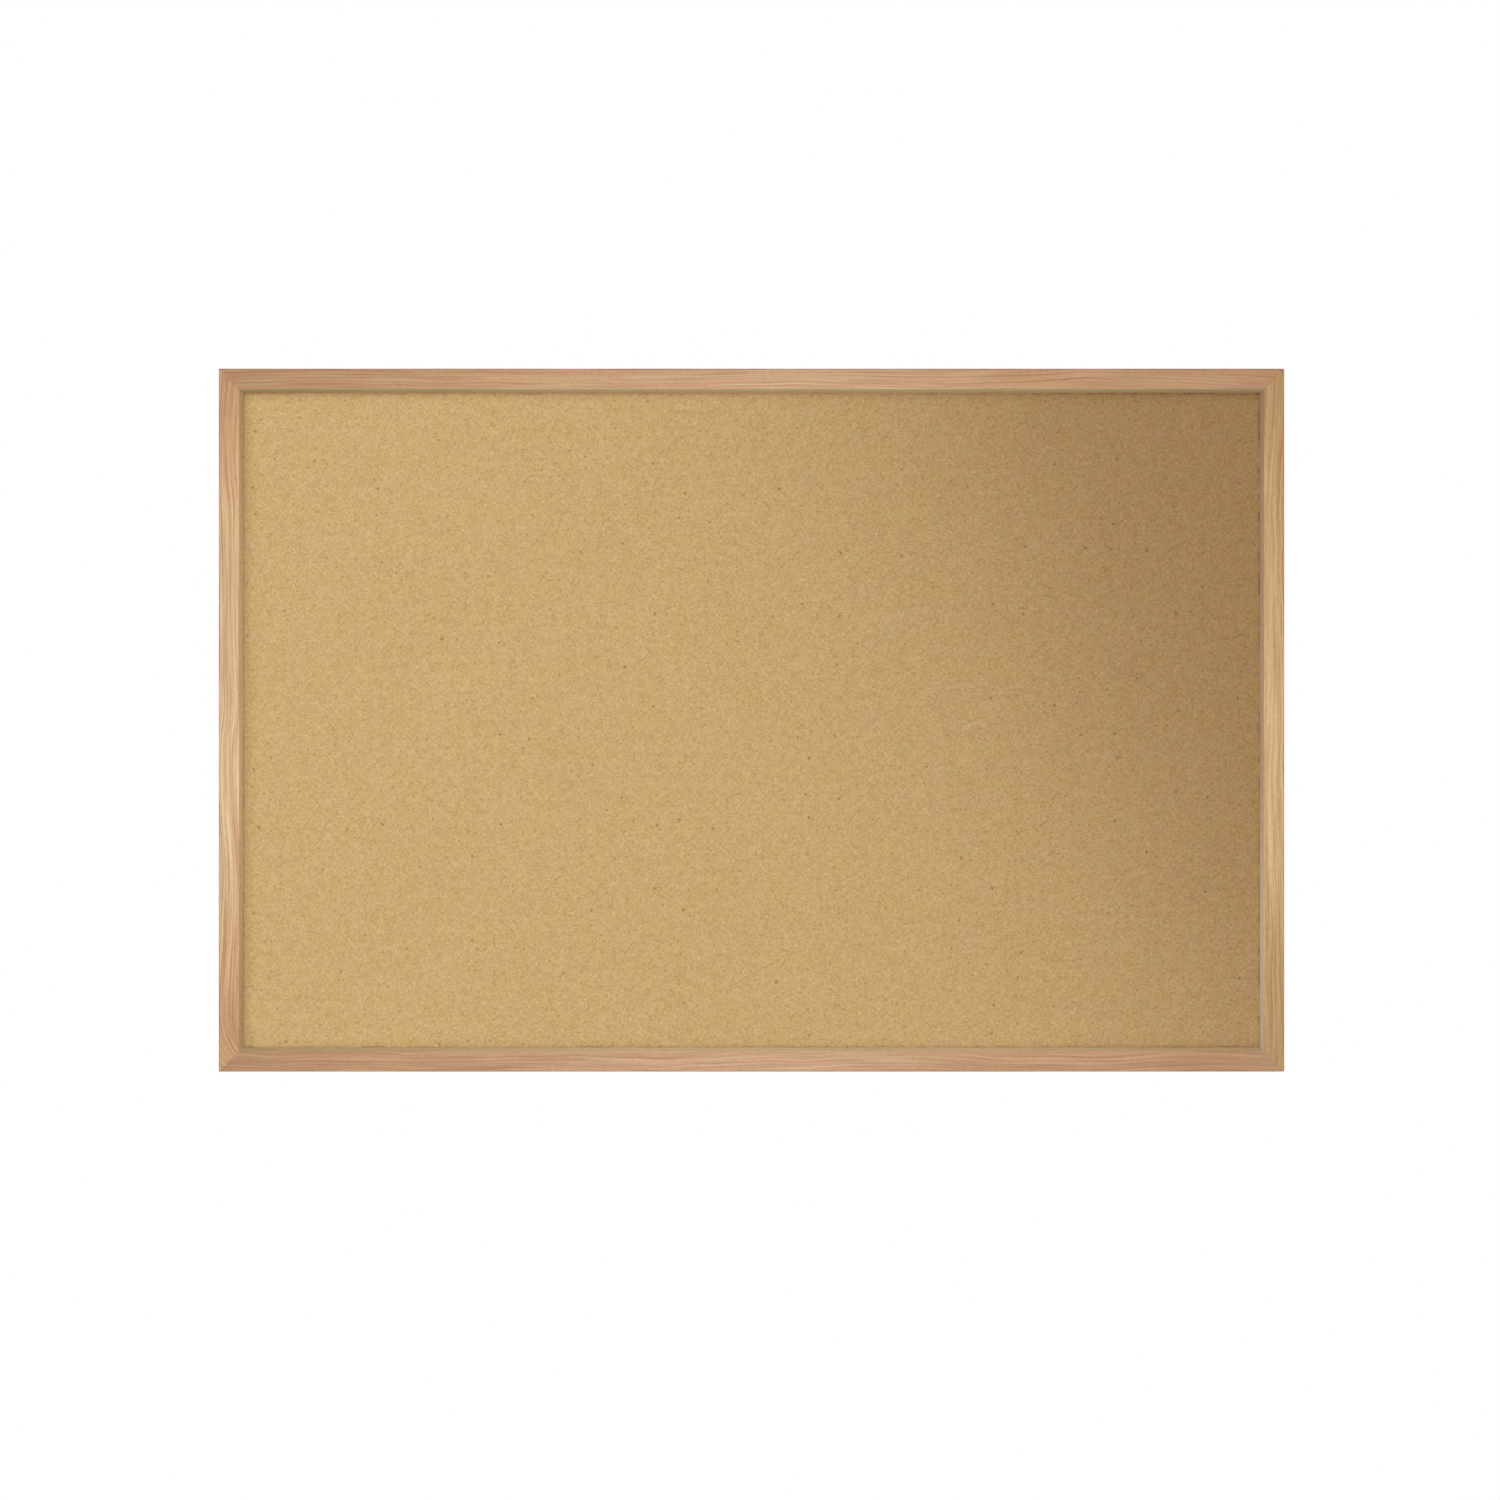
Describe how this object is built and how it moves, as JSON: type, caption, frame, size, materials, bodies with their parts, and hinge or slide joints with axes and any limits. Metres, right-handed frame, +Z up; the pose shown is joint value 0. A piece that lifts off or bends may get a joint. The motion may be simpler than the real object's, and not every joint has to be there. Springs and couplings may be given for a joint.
{
  "type": "cork bulletin board",
  "caption": "Wall-hung cork bulletin board: a natural cork face over fiberboard in a slim mitred oak frame, with swinging ring hangers and rubber bumpers on its back.",
  "frame": {"origin": "centre of the whole board's box", "axes": "+X along the board to its right as seen from the front, +Y from the cork back towards the wall, +Z up"},
  "size_m": [0.914, 0.0234, 0.603],
  "materials": {
    "oak": "satin clear-finished red oak, fine straight grain",
    "cork": "matt natural cork, fine granules with small dark specks",
    "fiberboard": "matt low-density fiberboard",
    "kraft_backing": "matt kraft-faced backing board",
    "bright_steel": "bright cold-rolled steel",
    "zinc_plate": "zinc-plated steel, semi-gloss",
    "rubber": "matt black rubber"
  },
  "bodies": {
    "board": {"top_rail": "oak", "bottom_rail": "oak", "left_stile": "oak", "right_stile": "oak", "cork_sheet": "cork", "fiberboard_core": "fiberboard", "backing_sheet": "kraft_backing", "v_nail_top_left_outer": "bright_steel", "v_nail_top_left_inner": "bright_steel", "v_nail_top_right_outer": "bright_steel", "v_nail_top_right_inner": "bright_steel", "v_nail_bottom_left_outer": "bright_steel", "v_nail_bottom_left_inner": "bright_steel", "v_nail_bottom_right_outer": "bright_steel", "v_nail_bottom_right_inner": "bright_steel", "retainer_point_top_1": "bright_steel", "retainer_point_top_2": "bright_steel", "retainer_point_top_3": "bright_steel", "retainer_point_top_4": "bright_steel", "retainer_point_bottom_1": "bright_steel", "retainer_point_bottom_2": "bright_steel", "retainer_point_bottom_3": "bright_steel", "retainer_point_bottom_4": "bright_steel", "retainer_point_left_1": "bright_steel", "retainer_point_left_2": "bright_steel", "retainer_point_left_3": "bright_steel", "retainer_point_right_1": "bright_steel", "retainer_point_right_2": "bright_steel", "retainer_point_right_3": "bright_steel", "hanger_strap_left": "zinc_plate", "hanger_strap_right": "zinc_plate", "hanger_screw_left": "zinc_plate", "hanger_screw_right": "zinc_plate", "bumper_left": "rubber", "bumper_right": "rubber"},
    "ring_left": {"hanger_ring_left": "zinc_plate"},
    "ring_right": {"hanger_ring_right": "zinc_plate"}
  },
  "joints": [
    {"name": "ring_left_swing", "type": "hinge", "parent": "board", "child": "ring_left", "pos_m": [-0.4485, 0.00945, 0.2065], "axis": [-1, 0, 0], "range_deg": [0, 168]},
    {"name": "ring_right_swing", "type": "hinge", "parent": "board", "child": "ring_right", "pos_m": [0.4485, 0.00945, 0.2065], "axis": [-1, 0, 0], "range_deg": [0, 168]}
  ]
}
